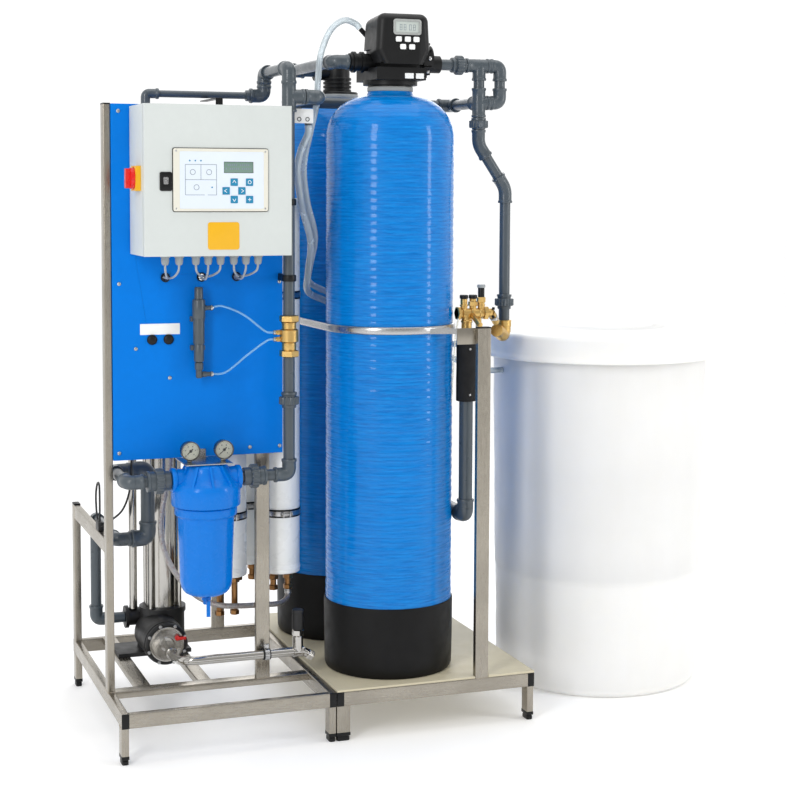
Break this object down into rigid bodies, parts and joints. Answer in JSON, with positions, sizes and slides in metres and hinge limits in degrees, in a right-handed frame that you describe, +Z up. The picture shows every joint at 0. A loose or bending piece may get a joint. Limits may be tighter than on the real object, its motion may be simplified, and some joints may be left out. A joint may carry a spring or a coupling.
{
  "type": "reverse osmosis unit",
  "caption": "Floor-standing reverse osmosis unit on a steel frame with a twin-tank softener beside it and a round lidded brine tank.",
  "frame": {"origin": "on the floor, at the centre of the whole footprint", "axes": "+Z up, +Y towards the back of the machine, +X to the right along the front, from the osmosis unit to the brine tank"},
  "size_m": [1.968, 0.8856, 2.0299],
  "materials": {
    "stainless": "brushed",
    "zinc_steel": "bright zinc",
    "black_plastic": "fine grain",
    "board": "smooth",
    "blue_panel": "satin powder coat",
    "enclosure_grey": "fine texture powder coat",
    "white_plastic": "smooth",
    "yellow_plastic": "smooth",
    "red_plastic": "gloss",
    "device_grey": "smooth",
    "dark_grey_plastic": "smooth",
    "cable_grey": "matte",
    "filter_blue": "gloss",
    "filter_media": "wound fibre",
    "gauge_steel": "polished",
    "needle_black": "matte",
    "grey_pvc": "smooth",
    "brass": "machined",
    "clear_hose": "translucent",
    "cast_black": "cast, painted",
    "motor_paint": "satin",
    "braid": "wire braid",
    "vessel_white": "gloss",
    "membrane_film": "wrapped film",
    "tank_blue": "wound glass fibre, gloss",
    "black_rubber": "matte",
    "valve_black": "satin",
    "key_teal": "membrane key",
    "brine_pe": "translucent polyethylene",
    "float_orange": "foam"
  },
  "bodies": {
    "base": {"ro_base_frame": "stainless", "ro_uprights": "stainless", "softener_frame": "stainless", "end_caps": "black_plastic", "base_board": "board", "back_panel": "blue_panel", "fasteners": "zinc_steel", "enclosure_body": "enclosure_grey", "isolator_plate": "yellow_plastic", "switchgear": "device_grey", "cable_glands": "dark_grey_plastic", "control_cables": "cable_grey", "filter_head": "filter_blue", "filter_cartridge": "filter_media", "steel_brackets": "stainless", "pressure_gauges": "gauge_steel", "ro_pipework": "grey_pvc", "brass_fittings": "brass", "flow_cell": "grey_pvc", "clear_hoses": "clear_hose", "pump_base": "cast_black", "pump_sleeve": "stainless", "pump_motor": "motor_paint", "discharge_pipe": "stainless", "braided_hose": "braid", "membrane_vessels": "vessel_white", "membrane_elements": "membrane_film", "clamp_bands": "stainless", "resin_tank_front": "tank_blue", "resin_tank_rear": "tank_blue", "tank_bases": "black_rubber", "riser_tubes": "white_plastic", "valve_body": "black_plastic", "twin_adapter": "black_plastic", "softener_pipework": "grey_pvc", "brine_tank": "brine_pe", "brine_well": "white_plastic"},
    "door": {"enclosure_door": "enclosure_grey", "controller_panel": "white_plastic"},
    "door_lock": {"door_lock": "zinc_steel"},
    "isolator_knob": {"isolator_knob": "red_plastic"},
    "needle_left": {"gauge_needle_left": "needle_black"},
    "needle_right": {"gauge_needle_right": "needle_black"},
    "filter_bowl": {"filter_bowl": "filter_blue"},
    "drain_lever": {"drain_lever": "filter_blue"},
    "pump_rotor": {"pump_rotor": "stainless"},
    "valve_cover": {"valve_cover": "valve_black"},
    "brine_lid": {"brine_lid": "brine_pe"},
    "brine_float": {"brine_float": "float_orange"},
    "controller_key_1": {"controller_key_1": "key_teal"},
    "controller_key_2": {"controller_key_2": "key_teal"},
    "controller_key_3": {"controller_key_3": "key_teal"},
    "controller_key_4": {"controller_key_4": "key_teal"},
    "controller_key_5": {"controller_key_5": "key_teal"},
    "controller_key_6": {"controller_key_6": "key_teal"},
    "valve_key_1": {"valve_key_1": "white_plastic"},
    "valve_key_2": {"valve_key_2": "white_plastic"},
    "valve_key_3": {"valve_key_3": "white_plastic"},
    "valve_key_4": {"valve_key_4": "white_plastic"},
    "valve_key_5": {"valve_key_5": "white_plastic"}
  },
  "joints": [
    {"name": "door_hinge", "type": "hinge", "parent": "base", "child": "door", "pos_m": [-0.5155, -0.4187, 1.558], "axis": [0, 0, 1], "range_deg": [0, 105]},
    {"name": "lock_turn", "type": "hinge", "parent": "door", "child": "door_lock", "pos_m": [-0.857, -0.4322, 1.557], "axis": [0, 1, 0], "range_deg": [0, 90]},
    {"name": "isolator_turn", "type": "hinge", "parent": "base", "child": "isolator_knob", "pos_m": [-0.924, -0.3622, 1.563], "axis": [1, 0, 0], "range_deg": [0, 90]},
    {"name": "needle_left_turn", "type": "hinge", "parent": "base", "child": "needle_left", "pos_m": [-0.771, -0.3372, 0.822], "axis": [0, 1, 0], "range_deg": [0, 270]},
    {"name": "needle_right_turn", "type": "hinge", "parent": "base", "child": "needle_right", "pos_m": [-0.677, -0.3372, 0.822], "axis": [0, 1, 0], "range_deg": [0, 270]},
    {"name": "bowl_turn", "type": "hinge", "parent": "base", "child": "filter_bowl", "pos_m": [-0.726, -0.3222, 0.66], "axis": [0, 0, 1], "continuous": true},
    {"name": "drain_turn", "type": "hinge", "parent": "filter_bowl", "child": "drain_lever", "pos_m": [-0.726, -0.3442, 0.399], "axis": [0, 1, 0], "range_deg": [0, 90]},
    {"name": "rotor_spin", "type": "hinge", "parent": "base", "child": "pump_rotor", "pos_m": [-0.746, 0.1628, 0.7], "axis": [0, 0, 1], "continuous": true},
    {"name": "cover_pull", "type": "slide", "parent": "base", "child": "valve_cover", "axis": [0, -1, 0], "range_m": [0, 0.22]},
    {"name": "lid_lift", "type": "slide", "parent": "base", "child": "brine_lid", "axis": [0, 0, 1], "range_m": [0, 0.35]},
    {"name": "float_rise", "type": "slide", "parent": "base", "child": "brine_float", "axis": [0, 0, 1], "range_m": [0, 0.45]},
    {"name": "controller_key_1_press", "type": "slide", "parent": "door", "child": "controller_key_1", "axis": [0, 1, 0], "range_m": [0, 0.0008], "stiffness_N_per_m": 800},
    {"name": "controller_key_2_press", "type": "slide", "parent": "door", "child": "controller_key_2", "axis": [0, 1, 0], "range_m": [0, 0.0008], "stiffness_N_per_m": 800},
    {"name": "controller_key_3_press", "type": "slide", "parent": "door", "child": "controller_key_3", "axis": [0, 1, 0], "range_m": [0, 0.0008], "stiffness_N_per_m": 800},
    {"name": "controller_key_4_press", "type": "slide", "parent": "door", "child": "controller_key_4", "axis": [0, 1, 0], "range_m": [0, 0.0008], "stiffness_N_per_m": 800},
    {"name": "controller_key_5_press", "type": "slide", "parent": "door", "child": "controller_key_5", "axis": [0, 1, 0], "range_m": [0, 0.0008], "stiffness_N_per_m": 800},
    {"name": "controller_key_6_press", "type": "slide", "parent": "door", "child": "controller_key_6", "axis": [0, 1, 0], "range_m": [0, 0.0008], "stiffness_N_per_m": 800},
    {"name": "valve_key_1_press", "type": "slide", "parent": "valve_cover", "child": "valve_key_1", "axis": [0, 1, 0], "range_m": [0, 0.0015], "stiffness_N_per_m": 500},
    {"name": "valve_key_2_press", "type": "slide", "parent": "valve_cover", "child": "valve_key_2", "axis": [0, 1, 0], "range_m": [0, 0.0015], "stiffness_N_per_m": 500},
    {"name": "valve_key_3_press", "type": "slide", "parent": "valve_cover", "child": "valve_key_3", "axis": [0, 1, 0], "range_m": [0, 0.0015], "stiffness_N_per_m": 500},
    {"name": "valve_key_4_press", "type": "slide", "parent": "valve_cover", "child": "valve_key_4", "axis": [0, 1, 0], "range_m": [0, 0.0015], "stiffness_N_per_m": 500},
    {"name": "valve_key_5_press", "type": "slide", "parent": "valve_cover", "child": "valve_key_5", "axis": [0, 1, 0], "range_m": [0, 0.0015], "stiffness_N_per_m": 500}
  ]
}
